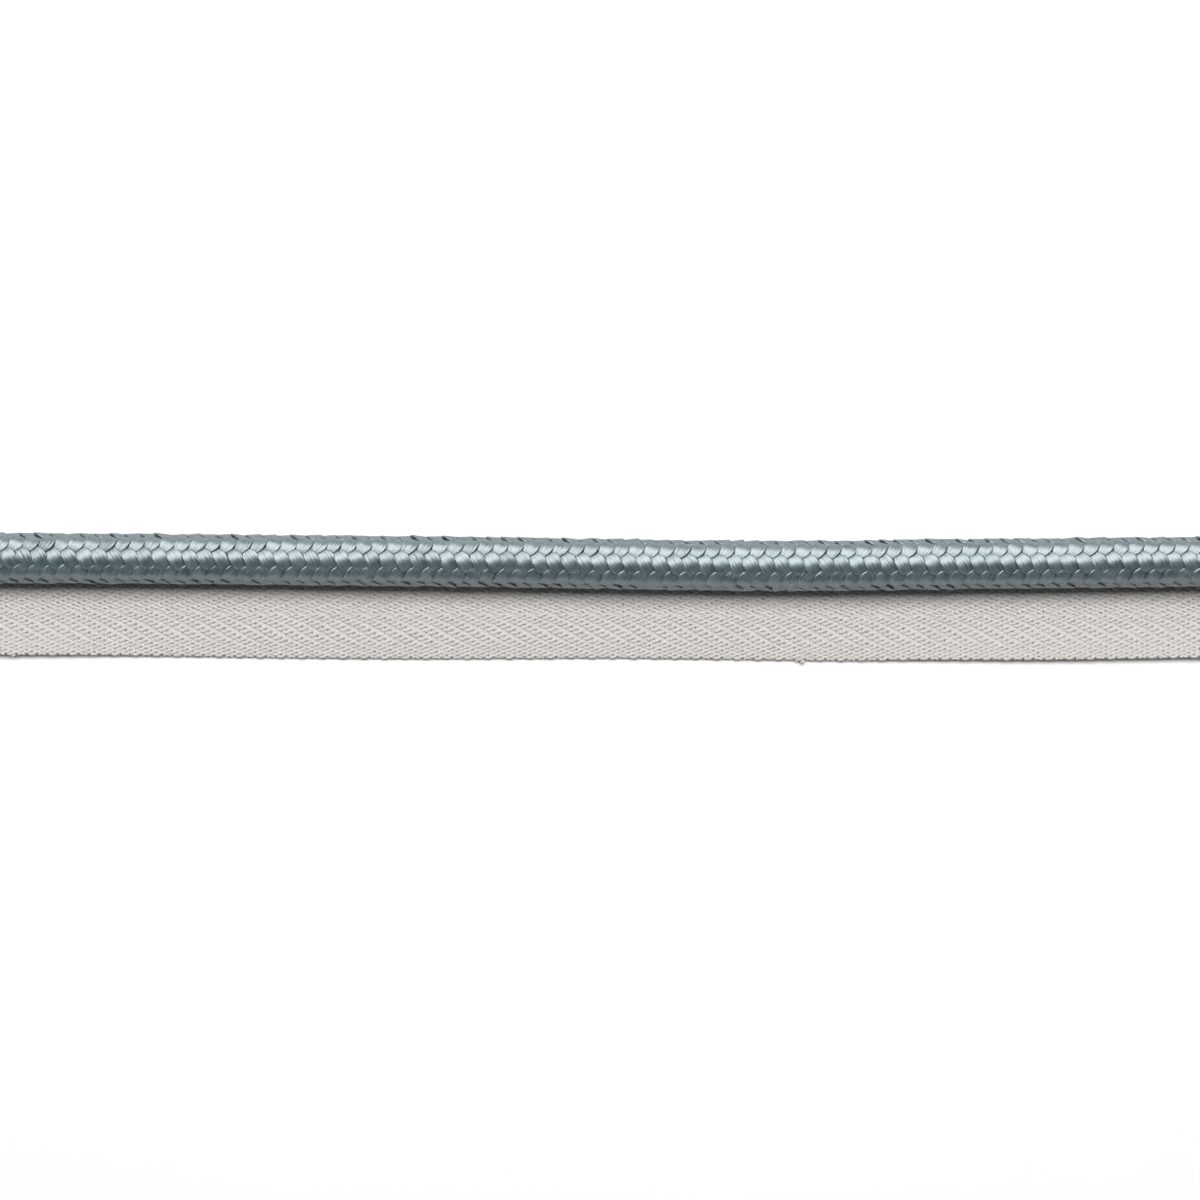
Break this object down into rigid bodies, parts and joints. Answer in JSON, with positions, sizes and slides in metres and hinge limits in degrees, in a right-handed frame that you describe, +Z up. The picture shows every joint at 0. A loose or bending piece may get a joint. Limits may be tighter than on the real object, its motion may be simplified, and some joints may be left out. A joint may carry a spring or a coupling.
{
  "type": "length of piping trim",
  "caption": "Straight cut length of piping trim: a satin braided cord stitched along its underside to a flat herringbone twill tape that is sewn into a seam.",
  "frame": {"origin": "on the tape's underside, at mid length and at the middle of the tape's width", "axes": "+X along the trim, +Y from the tape's free edge to the cord, +Z up from the surface that the tape lies on"},
  "size_m": [0.162, 0.0152, 0.0072],
  "materials": {
    "cord_yarn": "satin",
    "tape_yarn": "matt"
  },
  "bodies": {
    "root": {"braided_cord": "cord_yarn", "woven_tape": "tape_yarn"}
  },
  "joints": []
}
